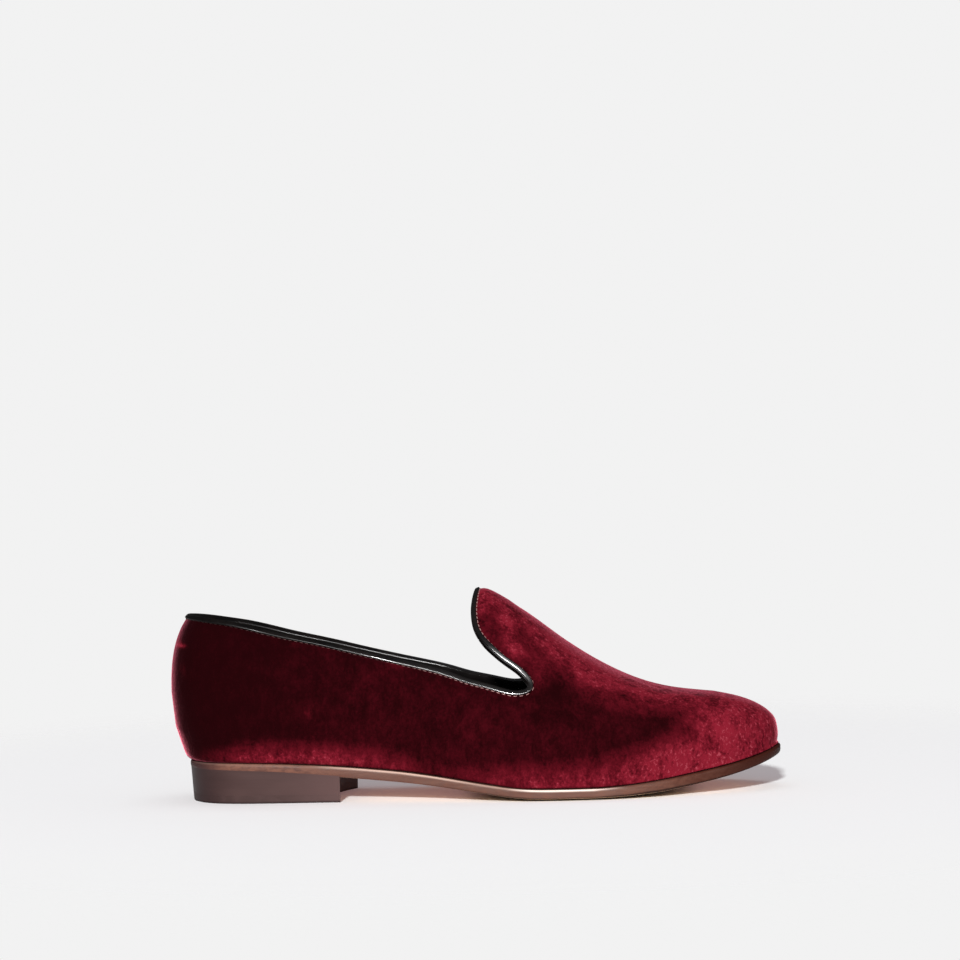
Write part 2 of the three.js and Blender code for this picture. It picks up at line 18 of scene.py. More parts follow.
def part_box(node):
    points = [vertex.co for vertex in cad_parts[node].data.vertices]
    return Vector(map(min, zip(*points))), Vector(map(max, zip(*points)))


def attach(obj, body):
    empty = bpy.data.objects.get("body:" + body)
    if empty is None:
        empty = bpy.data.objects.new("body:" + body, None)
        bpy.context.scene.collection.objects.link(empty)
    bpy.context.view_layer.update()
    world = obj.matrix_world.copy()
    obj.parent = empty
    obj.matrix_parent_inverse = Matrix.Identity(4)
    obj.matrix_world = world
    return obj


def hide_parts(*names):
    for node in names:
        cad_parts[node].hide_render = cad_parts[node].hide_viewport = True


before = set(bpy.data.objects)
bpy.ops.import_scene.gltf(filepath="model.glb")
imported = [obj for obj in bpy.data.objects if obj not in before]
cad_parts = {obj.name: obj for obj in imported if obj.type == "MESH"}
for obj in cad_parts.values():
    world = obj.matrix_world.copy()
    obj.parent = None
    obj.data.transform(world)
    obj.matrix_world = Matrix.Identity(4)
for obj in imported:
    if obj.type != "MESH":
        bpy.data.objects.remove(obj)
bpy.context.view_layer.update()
MM = 0.001
print("solids:", sorted(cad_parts))

# %% [markdown]
# ## The camera
#
# A shoe is photographed from far away with a long lens, so that it keeps its proportions. We stand
# about 1.27 m from it, a few degrees above the sole. The picture's centre is well above the shoe and
# the picture leans a little, so we first look straight at the shoe, then roll, then tilt up.

# %% Camera
PHOTO_SIZE = 960
FOCAL = 3000 / PHOTO_SIZE  # focal length in picture widths
SENSOR_WIDTH = 36
ELEVATION = math.radians(4.7)
AZIMUTH = math.radians(1.5)
ROLL = math.radians(1.42)
DISTANCE = 1.2696
LOOKED_AT = Vector((87.24 * MM, 0, 0))  # on the floor, near the middle of the shoe's length
LOOKED_ABOVE = 40.54 * MM  # from there, up in the picture, to about half the shoe's height
SHOE_BELOW_CENTRE = 215 / PHOTO_SIZE  # how far below the picture's centre the shoe is, in widths
SHOE_LEFT_OF_CENTRE = 2.4 / PHOTO_SIZE

back = Vector((
    math.sin(AZIMUTH) * math.cos(ELEVATION),
    -math.cos(AZIMUTH) * math.cos(ELEVATION),
    math.sin(ELEVATION),
))
looking = (-back).to_track_quat("-Z", "Y")
aim = LOOKED_AT + looking @ Vector((0, LOOKED_ABOVE, 0))

camera = bpy.data.objects.new("camera", bpy.data.cameras.new("camera"))
bpy.context.collection.objects.link(camera)
camera.data.sensor_width = SENSOR_WIDTH
camera.data.lens = FOCAL * SENSOR_WIDTH
camera.location = aim + back * DISTANCE
camera.rotation_mode = "QUATERNION"
roll = Quaternion((0, 0, 1), -ROLL)
tilt = Quaternion((1, 0, 0), math.atan(SHOE_BELOW_CENTRE / FOCAL))
pan = Quaternion((0, 1, 0), -math.atan(SHOE_LEFT_OF_CENTRE / FOCAL))
camera.rotation_quaternion = looking @ roll @ tilt @ pan
bpy.context.scene.camera = camera
print("camera at", [round(value, 3) for value in camera.location], "lens", camera.data.lens)

# %% [markdown]
# ## Helpers for materials
#
# A material is a tree of nodes that ends in a shader. What is the same all over a surface is a plain
# number on the shader's own socket. What changes over it comes from nodes, and these few functions
# keep that short: a smooth step from one value to another, a product and a mix of two colours.

# %% Small helpers for nodes


def new_material(name, plain):
    """A material and its shader, with plain values on the shader's sockets."""
    material = bpy.data.materials.new(name)
    material.use_nodes = True
    shader = material.node_tree.nodes["Principled BSDF"]
    for socket, value in plain.items():
        shader.inputs[socket].default_value = value
    return material, material.node_tree, shader


def add_node(tree, kind, inputs=None, **settings):
    node = tree.nodes.new(kind)
    for key, value in settings.items():
        setattr(node, key, value)
    for key, value in (inputs or {}).items():
        node.inputs[key].default_value = value
    return node


def math_node(tree, operation, a, b, clamp=False):
    node = add_node(tree, "ShaderNodeMath", operation=operation, use_clamp=clamp)
    for socket, value in zip(node.inputs, (a, b)):
        if isinstance(value, (int, float)):
            socket.default_value = value
        else:
            tree.links.new(value, socket)
    return node.outputs[0]


def product(tree, first, *others):
    for other in others:
        first = math_node(tree, "MULTIPLY", first, other)
    return first


def mix_colours(tree, factor, a, b):
    node = add_node(tree, "ShaderNodeMix", data_type="RGBA")
    for socket, value in ((node.inputs[0], factor), (node.inputs[6], a), (node.inputs[7], b)):
        if isinstance(value, (int, float)):
            socket.default_value = value
        elif isinstance(value, tuple):
            socket.default_value = (*value, 1)
        else:
            tree.links.new(value, socket)
    return node.outputs[2]


def remap(tree, value, low, high, to_low=0.0, to_high=1.0):
    """A smooth step: to_low where value is under low, to_high where it is over high."""
    node = add_node(tree, "ShaderNodeMapRange", interpolation_type="SMOOTHSTEP")
    node.inputs["From Min"].default_value = low
    node.inputs["From Max"].default_value = high
    node.inputs["To Min"].default_value = to_low
    node.inputs["To Max"].default_value = to_high
    tree.links.new(value, node.inputs["Value"])
    return node.outputs["Result"]


# %% [markdown]
# ## Floor and background
#
# A product photo has no horizon. We get that with a pale disc whose material becomes see-through
# towards its rim, in front of a plain world of the same brightness. Only the camera sees the bright
# world: the shoe is lit by a dimmer one, so that the lamps still shape it. The floor also glows a
# little rosy, though it is no lamp: this is painted light that lifts and tints the shoe's shadow.
# Right under the sole, where the shadow is blackest, an Ambient Occlusion node finds what stands
# close above the floor and takes the glow away, which paints the contact shadow there darker.

# %% Floor
FLOOR_RADIUS = 1.6
FLOOR_CENTRE = (0.10, 0.06, 0)  # about the middle of the shoe with its shadow
FADE_FROM, FADE_TO = 0.18, 0.44  # distances from there
FLOOR_COLOUR = (0.842, 0.892, 0.886, 1)
ROSY_PAINTED_GLOW = (1.0, 0.62, 0.68)
PAINTED_GLOW_STRENGTH = 0.125
CONTACT_REACH = 6 * MM

bm = bmesh.new()
bmesh.ops.create_circle(bm, cap_ends=True, segments=96, radius=FLOOR_RADIUS)
floor_mesh = bpy.data.meshes.new("floor")
bm.to_mesh(floor_mesh)
bm.free()
floor = bpy.data.objects.new("floor", floor_mesh)
bpy.context.collection.objects.link(floor)

floor_material, tree, shader = new_material("pale floor", {
    "Base Color": FLOOR_COLOUR,
    "Roughness": 0.9,
    "Specular IOR Level": 0.0,
    "Emission Strength": PAINTED_GLOW_STRENGTH,
})
# Painted light: the floor's emission is a rosy glow that lifts its shadow; the AO node dims it right
# under the sole, a painted contact shadow.
open_above = add_node(tree, "ShaderNodeAmbientOcclusion", {"Distance": CONTACT_REACH}).outputs["AO"]
painted_glow = mix_colours(tree, remap(tree, open_above, 0.10, 0.60), (0.0, 0.0, 0.0), ROSY_PAINTED_GLOW)
tree.links.new(painted_glow, shader.inputs["Emission Color"])
place = add_node(tree, "ShaderNodeTexCoord")
distance = add_node(tree, "ShaderNodeVectorMath", operation="DISTANCE")
tree.links.new(place.outputs["Object"], distance.inputs[0])
distance.inputs[1].default_value = FLOOR_CENTRE
fade = remap(tree, distance.outputs["Value"], FADE_FROM, FADE_TO, 1.0, 0.0)
tree.links.new(fade, shader.inputs["Alpha"])
floor_mesh.materials.append(floor_material)
print("floor of", FLOOR_RADIUS, "m, see-through beyond", FADE_TO, "m")

# %% World
SEEN = (0.887, 0.887, 0.887)  # by the camera
AMBIENT = (0.20, 0.20, 0.21)  # as light on the shoe
MIRRORED = (0.045, 0.045, 0.047)  # in its polished parts

world = bpy.data.worlds.new("studio")
bpy.context.scene.world = world
world.use_nodes = True
tree = world.node_tree
rays = add_node(tree, "ShaderNodeLightPath")
around = mix_colours(tree, rays.outputs["Is Glossy Ray"], AMBIENT, MIRRORED)
around = mix_colours(tree, rays.outputs["Is Camera Ray"], around, SEEN)
tree.links.new(around, tree.nodes["Background"].inputs["Color"])
bpy.context.scene.view_settings.view_transform = "Standard"
print("the world is seen as", SEEN, "and lights with", AMBIENT)

# %% [markdown]
# ## Studio light
#
# The shadow tells where the lamp stood. It lies behind the shoe and a little to the right, about
# twice as long as the shoe is high, and the floor around it is lit evenly: so one strong softbox far
# away, beside the camera and some 25 degrees up. A weak one overhead helps the ridge, and stays out
# of the reflections. The thin white line on the binding mirrors a long, low strip, which shows in
# reflections only.

# %% Lamps
MIDDLE = Vector((0.09, 0, 0.04))
LAMPS = [
    # name, place, width and height, watts, and what is switched off
    ("front key", (-1.11, -12.28, 5.72), (0.95, 0.85), 2496, ["visible_camera"]),
    ("top fill", (0.10, 0.25, 1.6), (1.0, 0.8), 3.4, ["visible_glossy"]),
    ("reflected strip", (0.09, -3.20, 1.20), (3.6, 0.27), 95, ["visible_diffuse", "visible_camera"]),
]

for name, place, size, watts, switched_off in LAMPS:
    lamp = bpy.data.objects.new(name, bpy.data.lights.new(name, "AREA"))
    lamp.data.shape = "RECTANGLE"
    lamp.data.size, lamp.data.size_y = size
    lamp.data.energy = watts
    lamp.location = Vector(place)
    lamp.rotation_mode = "QUATERNION"
    lamp.rotation_quaternion = (MIDDLE - lamp.location).to_track_quat("-Z", "Y")
    for setting in switched_off:
        setattr(lamp, setting, False)
    bpy.context.collection.objects.link(lamp)
    print(name, round((MIDDLE - lamp.location).length, 2), "m away")

# %% [markdown]
# ## From facets to smooth skins
#
# The solids are made of flat triangles. For a smooth skin we copy each one, join its triangles back
# into four-sided faces, mark the edges that should stay sharp, and let Subdivision Surface round off
# the rest. The copy then stands for the solid, which is hidden.

# %% A copy with four-sided faces
SAME_POINT = 0.005 * MM
FLAT_ENOUGH = math.radians(50)
SQUARE_ENOUGH = math.radians(100)
LONG_EDGE = 12 * MM


def merged_copy(node):
    bm = bmesh.new()
    bm.from_mesh(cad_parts[node].data)
    bmesh.ops.remove_doubles(bm, verts=bm.verts, dist=SAME_POINT)
    bmesh.ops.join_triangles(
        bm,
        faces=bm.faces,
        angle_face_threshold=FLAT_ENOUGH,
        angle_shape_threshold=SQUARE_ENOUGH,
    )
    return bm


def keep_sharp(bm, angle, sharpness=1.0):
    """Mark corners steeper than angle, and the rim of each wide flat cap, which must stay flat."""
    crease = bm.edges.layers.float.new("crease_edge")
    caps = {f for f in bm.faces if max(edge.calc_length() for edge in f.edges) > LONG_EDGE}
    for edge in bm.edges:
        if len(edge.link_faces) != 2:
            continue
        if edge.calc_face_angle(0) > math.radians(angle):
            edge[crease] = sharpness
        if sum(face in caps for face in edge.link_faces) == 1:
            edge[crease] = 1.0


# %% The smooth skin through its corners
SKIN_LEVELS = 2
FITS = 3
SHADING_BREAK = math.radians(50)


def evaluated_mesh(piece):
    bpy.context.view_layer.update()
    seen = piece.evaluated_get(bpy.context.evaluated_depsgraph_get())
    return bpy.data.meshes.new_from_object(seen)


def smooth_object(bm, name):
    """A new object from bm with Subdivision Surface applied, so that its mesh is final.

    Subdivision draws a cage inwards. So we look where each corner ends up, and move the corner of
    the cage out by what it lost, a few times over: the skin then runs through the solid's corners.
    """
    corners = [vertex.co.copy() for vertex in bm.verts]
    mesh = bpy.data.meshes.new(name)
    bm.to_mesh(mesh)
    bm.free()
    if "custom_normal" in mesh.attributes:
        mesh.attributes.remove(mesh.attributes["custom_normal"])
    piece = bpy.data.objects.new(name, mesh)
    bpy.context.collection.objects.link(piece)
    subdivision = piece.modifiers.new("smooth", "SUBSURF")
    subdivision.levels = subdivision.render_levels = 1
    for _ in range(FITS):
        trial = evaluated_mesh(piece)
        for i, corner in enumerate(corners):
            mesh.vertices[i].co += corner - trial.vertices[i].co
        bpy.data.meshes.remove(trial)
        mesh.update()
    subdivision.levels = subdivision.render_levels = SKIN_LEVELS
    final = evaluated_mesh(piece)
    final.name = name
    piece.modifiers.clear()
    piece.data = final
    bpy.data.meshes.remove(mesh)
    final.shade_smooth()
    final.set_sharp_from_angle(angle=SHADING_BREAK)
    return piece


# %% Finishing a piece


def note_on_points(mesh, name, values):
    """Keep one number for each point, which a material then reads by its name."""
    mesh.attributes.new(name, "FLOAT", "POINT").data.foreach_set("value", values)


def point_normals(mesh):
    return [Vector(normal.vector) for normal in mesh.vertex_normals]


def finish_piece(piece, node, material):
    piece.data.materials.append(material)
    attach(piece, "root")
    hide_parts(node)
    low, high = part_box(node)
    grown = [
        round((side(v.co[axis] for v in piece.data.vertices) - corner[axis]) / MM, 2)
        for corner, side in ((low, min), (high, max))
        for axis in range(3)
    ]
    print(piece.name, "has", len(piece.data.polygons), "faces; sides moved by", grown, "mm")


# %% [markdown]
# ## Two effects that several materials share
#
# A shader node group is built once and used with its own values in each material. "Grain" is the
# fine pebbling of leather and makes a height for a bump. "Clouds" gives soft, uneven patches, which
# stand for pile that leans different ways, or for dye and wax that took unevenly.

# %% Node groups


def group_with(name, numbers, output):
    """A node group with a Vector and some numbers going in, and one value coming out."""
    group = bpy.data.node_groups.new(name, "ShaderNodeTree")
    group.interface.new_socket("Vector", in_out="INPUT", socket_type="NodeSocketVector")
    for label, value in numbers.items():
        socket = group.interface.new_socket(label, in_out="INPUT", socket_type="NodeSocketFloat")
        socket.default_value = value
    group.interface.new_socket(output, in_out="OUTPUT", socket_type="NodeSocketFloat")
    return group, group.nodes.new("NodeGroupInput"), group.nodes.new("NodeGroupOutput")


grain_group, given, result = group_with("leather grain", {"Scale": 900.0, "Creasing": 0.4}, "Height")
cells = add_node(grain_group, "ShaderNodeTexVoronoi", feature="DISTANCE_TO_EDGE")
fine = add_node(grain_group, "ShaderNodeTexNoise", {"Detail": 4.0})
for label in ("Vector", "Scale"):
    grain_group.links.new(given.outputs[label], cells.inputs[label])
    grain_group.links.new(given.outputs[label], fine.inputs[label])
pores = remap(grain_group, cells.outputs["Distance"], 0.0, 0.25)
height = product(grain_group, pores, given.outputs["Creasing"])
height = math_node(grain_group, "ADD", height, fine.outputs["Fac"])
grain_group.links.new(height, result.inputs["Height"])

cloud_group, given, result = group_with(
    "clouds", {"Scale": 40.0, "Detail": 3.0, "Low": 0.4, "High": 0.65}, "Patches"
)
noise = add_node(cloud_group, "ShaderNodeTexNoise", {"Distortion": 0.6})
for label in ("Vector", "Scale", "Detail"):
    cloud_group.links.new(given.outputs[label], noise.inputs[label])
over_low = math_node(cloud_group, "SUBTRACT", noise.outputs["Fac"], given.outputs["Low"])
span = math_node(cloud_group, "SUBTRACT", given.outputs["High"], given.outputs["Low"])
patches = math_node(cloud_group, "DIVIDE", over_low, span, clamp=True)
cloud_group.links.new(patches, result.inputs["Patches"])
print("node groups:", [group.name for group in bpy.data.node_groups])

# %% Placing the groups, and coordinates for them


def clouds(tree, vector, scale, low=0.4, high=0.65, detail=3.0):
    """Patches from 0 to 1: the nearer low and high are to each other, the harder their edges."""
    values = {"Scale": scale, "Low": low, "High": high, "Detail": detail}
    node = add_node(tree, "ShaderNodeGroup", node_tree=cloud_group)
    for label, value in values.items():
        node.inputs[label].default_value = value
    tree.links.new(vector, node.inputs["Vector"])
    return node.outputs["Patches"]


def grain(tree, vector, scale, creasing=0.4):
    node = add_node(tree, "ShaderNodeGroup", node_tree=grain_group)
    node.inputs["Scale"].default_value = scale
    node.inputs["Creasing"].default_value = creasing
    tree.links.new(vector, node.inputs["Vector"])
    return node.outputs["Height"]


def mapped(tree, scale=(1, 1, 1), turn=(0, 0, 0)):
    """Object coordinates, stretched and turned."""
    place = add_node(tree, "ShaderNodeTexCoord")
    mapping = add_node(tree, "ShaderNodeMapping")
    mapping.inputs["Scale"].default_value = scale
    mapping.inputs["Rotation"].default_value = turn
    tree.links.new(place.outputs["Object"], mapping.inputs["Vector"])
    return mapping.outputs["Vector"]


def position(tree):
    place = add_node(tree, "ShaderNodeTexCoord")
    axes = add_node(tree, "ShaderNodeSeparateXYZ")
    tree.links.new(place.outputs["Object"], axes.inputs["Vector"])
    return axes.outputs


def noted(tree, name):
    """The number that was noted on the piece's points under this name."""
    return add_node(tree, "ShaderNodeAttribute", attribute_name=name).outputs["Fac"]


def add_bump(tree, shader, height, depth, strength):
    bump = add_node(tree, "ShaderNodeBump", {"Strength": strength, "Distance": depth})
    tree.links.new(height, bump.inputs["Height"])
    tree.links.new(bump.outputs["Normal"], shader.inputs["Normal"])


# %% [markdown]
# ## Velvet
#
# Velvet is a dense pile of short fibres. Looked at along the fibres it swallows light and is nearly
# black; where the pile leans over it shows the sides of the fibres and is red. So the colour follows
# one number, noted on the points further down, which is partly how much the pile is lifted and partly
# painted sheen, and clouds of four sizes ruffle it. Where it is high, pink flecks are painted glints.
# Seen edge-on, at the outline, the tips catch the light: the shader's sheen does that, helped by a
# speckled fringe of painted sheen in the base colour, from a Layer Weight node.

# %% Velvet material
DEEP = (0.0105, 0.0003, 0.0009)
RED = (0.062, 0.0022, 0.0056)
BRUSHED_AND_SHEEN = (0.178, 0.0088, 0.0190)
FLECK_GLINT = (0.38, 0.070, 0.095)
SHEEN_FRINGE = (0.66, 0.14, 0.21)

velvet, tree, shader = new_material("burgundy velvet", {
    "Roughness": 0.95,
    "Specular IOR Level": 0.02,
    "Sheen Weight": 0.60,
    "Sheen Roughness": 0.24,
    "Sheen Tint": (1.0, 0.22, 0.30, 1),
})
broad = clouds(tree, mapped(tree, (1, 1, 0.6), (0, 0.35, 0)), 45, 0.30, 0.70, 3)
blotches = clouds(tree, mapped(tree, (1.0, 1.0, 0.8), (0, 0.5, 0)), 120, 0.32, 0.68, 3)
feathery = clouds(tree, mapped(tree, (1.0, 1.0, 0.50), (0, -0.12, 0)), 330, 0.30, 0.70, 4)
speckle = clouds(tree, mapped(tree, (1.0, 1.0, 0.8)), 950, 0.30, 0.72, 3)

ruffle = 0.0
for patches, strength in ((broad, 0.40), (blotches, 0.60), (feathery, 0.58), (speckle, 0.66)):
    swing = product(tree, math_node(tree, "SUBTRACT", patches, 0.5), strength)
    ruffle = math_node(tree, "ADD", ruffle, swing)
lift_and_sheen = noted(tree, "lift_and_sheen")
ruffled_where_bright = math_node(tree, "ADD", product(tree, lift_and_sheen, 0.95), 0.05)
level = math_node(tree, "ADD", lift_and_sheen, product(tree, ruffle, ruffled_where_bright))

colour = mix_colours(tree, remap(tree, level, 0.0, 0.45), DEEP, RED)
colour = mix_colours(tree, remap(tree, level, 0.35, 1.05), colour, BRUSHED_AND_SHEEN)
# Painted glints: pink flecks where the velvet is brightest.
glinting_tips = product(tree, remap(tree, level, 0.68, 1.20), remap(tree, speckle, 0.6, 1.0), 0.5)
colour = mix_colours(tree, glinting_tips, colour, FLECK_GLINT)
# Painted sheen: a speckled pink fringe in the base colour along the outline.
edge_on = add_node(tree, "ShaderNodeLayerWeight", {"Blend": 0.5}).outputs["Facing"]
uneven = remap(tree, speckle, 0.1, 0.9, 0.16, 0.66)
painted_sheen_fringe = product(tree, remap(tree, edge_on, 0.60, 1.0), uneven)
tree.links.new(mix_colours(tree, painted_sheen_fringe, colour, SHEEN_FRINGE), shader.inputs["Base Color"])

pile = add_node(tree, "ShaderNodeTexNoise", {"Scale": 2200.0, "Detail": 3.0})
tree.links.new(mapped(tree), pile.inputs["Vector"])
height = math_node(tree, "ADD", pile.outputs["Fac"], product(tree, feathery, 0.8))
add_bump(tree, shader, height, 0.14 * MM, 0.8)
print(velvet.name, "has", len(tree.nodes), "nodes")

# %% [markdown]
# ## The upper
#
# The upper is pulled over a last, so it is taut, but soft cloth never is quite even: we press a few
# shallow troughs into it, where the tongue bends away from the side and where the side runs up the
# heel. Each one is a short line of points with a width and a depth.

# %% Creases in the upper
TROUGHS = [
    # points along the crease, width and depth in millimetres; a depth below zero is a ridge
    ([(103, -31, 76), (101, -34, 66), (103, -36, 58)], 5.0, 0.35),
    ([(108, -30, 72), (107, -34, 62), (110, -37, 54)], 6.0, -0.25),
    ([(112, -38, 42), (118, -40, 47), (124, -38, 55)], 7.0, 0.45),
    ([(116, -41, 34), (124, -41, 38), (132, -39, 44)], 8.0, 0.35),
    ([(112, 34, 42), (118, 36, 47), (124, 34, 55)], 7.0, 0.45),
    ([(103, 29, 70), (104, 32, 60), (108, 34, 52)], 6.0, 0.3),
    ([(-24, -26, 60), (-18, -29, 45), (-14, -30, 32)], 10.0, 0.3),
    ([(40, -29, 45), (52, -29, 36), (60, -29, 28)], 12.0, 0.35),
    ([(35, 27, 45), (48, 26, 36), (58, 26, 28)], 12.0, 0.35),
]
SPINE_FROM, SPINE_TO, SPINE_HEIGHT = -0.010, 0.172, 0.034  # a line inside the shoe's hollow
FADED_OUT = 3  # widths away from its line, a trough is gone


def distance_to_line(point, line):
    best = math.inf
    for start, end in zip(line, line[1:]):
        along = end - start
        share = max(0.0, min(1.0, (point - start).dot(along) / along.length_squared))
        best = min(best, (point - start - along * share).length)
    return best


def outward_from_spine(point):
    """From the middle of the shoe's hollow to a point of its wall."""
    return point - Vector((max(SPINE_FROM, min(SPINE_TO, point.x)), 0, SPINE_HEIGHT))


def press(bm, troughs):
    moves = {}
    for points, width, depth in troughs:
        line = [Vector(p) * MM for p in points]
        for vertex in bm.verts:
            near = distance_to_line(vertex.co, line) / (width * MM)
            if near < FADED_OUT:
                inward = -outward_from_spine(vertex.co).normalized()
                push = inward * (depth * MM * math.exp(-near * near))
                moves[vertex] = moves.get(vertex, Vector()) + push
    for vertex, push in moves.items():
        vertex.co += push
    print(len(moves), "points pressed")


bm = merged_copy("upper")
keep_sharp(bm, 70, 0.8)
upper = smooth_object(bm, "velvet_upper")

bm = bmesh.new()
bm.from_mesh(upper.data)
press(bm, TROUGHS)
bm.to_mesh(upper.data)
bm.free()

# %% [markdown]
# ## How the pile lies
#
# In the photo the velvet is bright along the seam with the sole, over the toe, up the ridge of the
# tongue and round the back of the heel, and it lies dark and flat on the side. The bright parts are
# partly lifted pile and partly painted sheen where the surface curves away; on the ridge the sheen is
# painted lighter where the surface faces up. A finger has drawn a few strokes in the pile. We write
# that down as tables of places, and note the result on every point of the upper.

# %% Tables of the pile
SOLE_LINE = [
    # x and the height of the sole's top, in millimetres
    (-44, 17.0), (-22, 16.8), (-2, 16.4), (18, 15.5), (38, 14.0), (55, 12.4), (68, 10.7), (81, 8.6),
    (94, 6.5), (102, 5.45), (109, 4.95), (116, 4.8), (135, 4.8), (150, 5.6), (163, 7.0), (180, 9.7),
    (193, 12.2), (204, 14.9), (216, 18.8),
]
BRUSHED_AND_SHEEN_BAND = [
    # along the seam: x and how high the band reaches, in millimetres, and how strong it is
    (-42, 5, 0.25), (-34, 6, 0.05), (-22, 8, 0.30), (-6, 12, 0.68), (28, 13, 0.66), (50, 12, 0.52),
    (62, 11, 0.34), (73, 9, 0.27), (86, 11, 0.38), (112, 15, 0.66), (132, 16, 0.58), (146, 19, 0.70),
    (160, 22, 0.90), (182, 27, 0.94), (203, 34, 0.96), (216, 40, 0.85),
]
STROKES = [
    # on the outer side: x, z, half width, half height in millimetres, and how much the pile is
    # lifted, or laid flat where that is below zero
    (-37.2, 65.4, 2.2, 1.0, 0.85), (-34.8, 65.2, 1.8, 0.7, 0.45), (-36.6, 67.2, 1.0, 1.4, 0.35),
    (-34.8, 55.5, 1.0, 2.0, 0.16), (-37.5, 23.0, 1.2, 3.0, 0.55),
    (12.5, 65.0, 1.3, 1.0, 0.14), (18.5, 38.0, 1.6, 3.5, 0.18), (55.0, 57.0, 1.8, 1.4, 0.25),
    (100.5, 72.0, 2.6, 6.0, 0.42), (103.0, 63.0, 2.4, 4.0, 0.36), (105.5, 59.5, 3.0, 2.0, 0.30),
    (113.5, 52.0, 3.0, 6.0, 0.34), (93.5, 79.0, 3.4, 5.0, -0.22), (96.0, 66.0, 2.5, 5.0, -0.18),
    (118.0, 44.0, 5.0, 4.0, -0.10),
]


def smoothstep(value, low, high):
    share = max(0.0, min(1.0, (value - low) / (high - low)))
    return share * share * (3 - 2 * share)


def read_table(table, x):
    """What a table says at x in millimetres, in a straight line between its rows."""
    x = max(table[0][0], min(table[-1][0], x))
    for (x0, *before), (x1, *after) in zip(table, table[1:]):
        if x <= x1:
            share = (x - x0) / (x1 - x0)
            return [a + (b - a) * share for a, b in zip(before, after)]


def below_sole_top(point):
    """How far a point is below the line where sole and upper meet, in millimetres."""
    return read_table(SOLE_LINE, point.x / MM)[0] - point.z / MM


# %% Where the pile is lifted, and where sheen is painted


def stroked(point):
    if point.y > 0:
        return 0.0
    total = 0.0
    for x, z, half_width, half_height, strength in STROKES:
        off = ((point.x / MM - x) / half_width) ** 2 + ((point.z / MM - z) / half_height) ** 2
        total += strength * math.exp(-off)
    return total


def pile_lift_and_sheen(point, normal):
    """From 0, where the pile lies flat, to 1, where it is lifted and painted sheen is strong. Lengths
    are in millimetres.
    """
    x, z = point.x / MM, point.z / MM
    reach, strength = read_table(BRUSHED_AND_SHEEN_BAND, x)
    # Seam, toe and heel back are partly lifted pile and partly painted sheen.
    seam = strength * (1 - smoothstep(-below_sole_top(point), 0.15 * reach, 1.15 * reach))
    tongue = smoothstep(x, 80, 92)
    # Painted sheen on the ridge, lighter where the surface faces up.
    ridge = (0.84 + 0.12 * smoothstep(z, 40, 65) - 0.26 * smoothstep(x, 118, 155)) * tongue
    ridge *= smoothstep(normal.z, 0.46, 0.90)
    ridge += 0.32 * tongue * smoothstep(normal.z, 0.78, 0.97)
    side_of_tongue = 0.42 * tongue * smoothstep(z, 46, 64)
    toe_top = 0.86 * smoothstep(x, 156, 192)
    back_of_heel = 0.40 * (1 - smoothstep(x, -42, -38.5))
    side = 0.03 + 0.09 * smoothstep(x, -30, 60)
    return max(side, seam, ridge, side_of_tongue, toe_top, back_of_heel) + stroked(point)


mesh = upper.data
lifts_and_sheen = [pile_lift_and_sheen(v.co, normal) for v, normal in zip(mesh.vertices, point_normals(mesh))]
note_on_points(mesh, "lift_and_sheen", lifts_and_sheen)
print("lift from", round(min(lifts_and_sheen), 2), "to", round(max(lifts_and_sheen), 2))

# %% [markdown]
# ## The lining
#
# The inside of the wall is dark lining leather. It is the same solid as the velvet, so its faces get
# a second material: they are the ones that look toward the middle of the shoe.

# %% Lining
LINING_DARK = (0.006, 0.0042, 0.0036)
LINING_LIGHT = (0.014, 0.0095, 0.0075)

lining, tree, shader = new_material("dark lining leather", {"Roughness": 0.55})
vector = mapped(tree)
colour = mix_colours(tree, clouds(tree, vector, 60), LINING_DARK, LINING_LIGHT)
tree.links.new(colour, shader.inputs["Base Color"])
add_bump(tree, shader, grain(tree, vector, 1100), 0.08 * MM, 0.6)

finish_piece(upper, "upper", velvet)
mesh.materials.append(lining)
for face in mesh.polygons:
    if face.normal.dot(outward_from_spine(face.center)) < 0:
        face.material_index = 1
print("lining faces:", sum(face.material_index for face in mesh.polygons))

# %% [markdown]
# ## The binding
#
# The binding is a narrow strip of polished black calf, folded over the raw edge of the upper. Its
# shape is already in the solid, so a smooth copy is enough. The polish matters more: a clear coat
# mirrors the strip light as one thin bright line. The coat is thick round the throat and worn thin
# toward the heel and up the tongue.

# %% Binding
CALF_DARK = (0.003, 0.0025, 0.0025)
CALF_LIGHT = (0.007, 0.0052, 0.0048)
PULLED_IN = 0.45 * MM  # how much closer the binding lies at the very back

binding_leather, tree, shader = new_material("polished black calf", {
    "Specular IOR Level": 0.10,
    "Coat Roughness": 0.14,
    "Coat IOR": 2.2,
})
vector = mapped(tree)
colour = mix_colours(tree, clouds(tree, vector, 90), CALF_DARK, CALF_LIGHT)
tree.links.new(colour, shader.inputs["Base Color"])
roughness = remap(tree, clouds(tree, vector, 300), 0, 1, 0.30, 0.42)
tree.links.new(roughness, shader.inputs["Roughness"])
at = position(tree)
toward_throat = remap(tree, at["X"], 0.020, 0.080, 0.10, 1.0)
up_the_tongue = remap(tree, at["Z"], 0.052, 0.066, 1.0, 0.45)
tree.links.new(product(tree, toward_throat, up_the_tongue), shader.inputs["Coat Weight"])
add_bump(tree, shader, grain(tree, vector, 1500), 0.04 * MM, 0.25)

bm = merged_copy("binding")
for vertex in bm.verts:
    vertex.co.x += PULLED_IN * smoothstep(-vertex.co.x, 30 * MM, 36 * MM)
binding = smooth_object(bm, "topline_binding")
finish_piece(binding, "binding", binding_leather)

# %% [markdown]
# ## Stitches
#
# The binding is sewn down with small stitches in the velvet just below it. We need their path: the
# topline of the upper, moved a little way down the wall. The rim of the solid gives it as a loop of
# sharp edges.

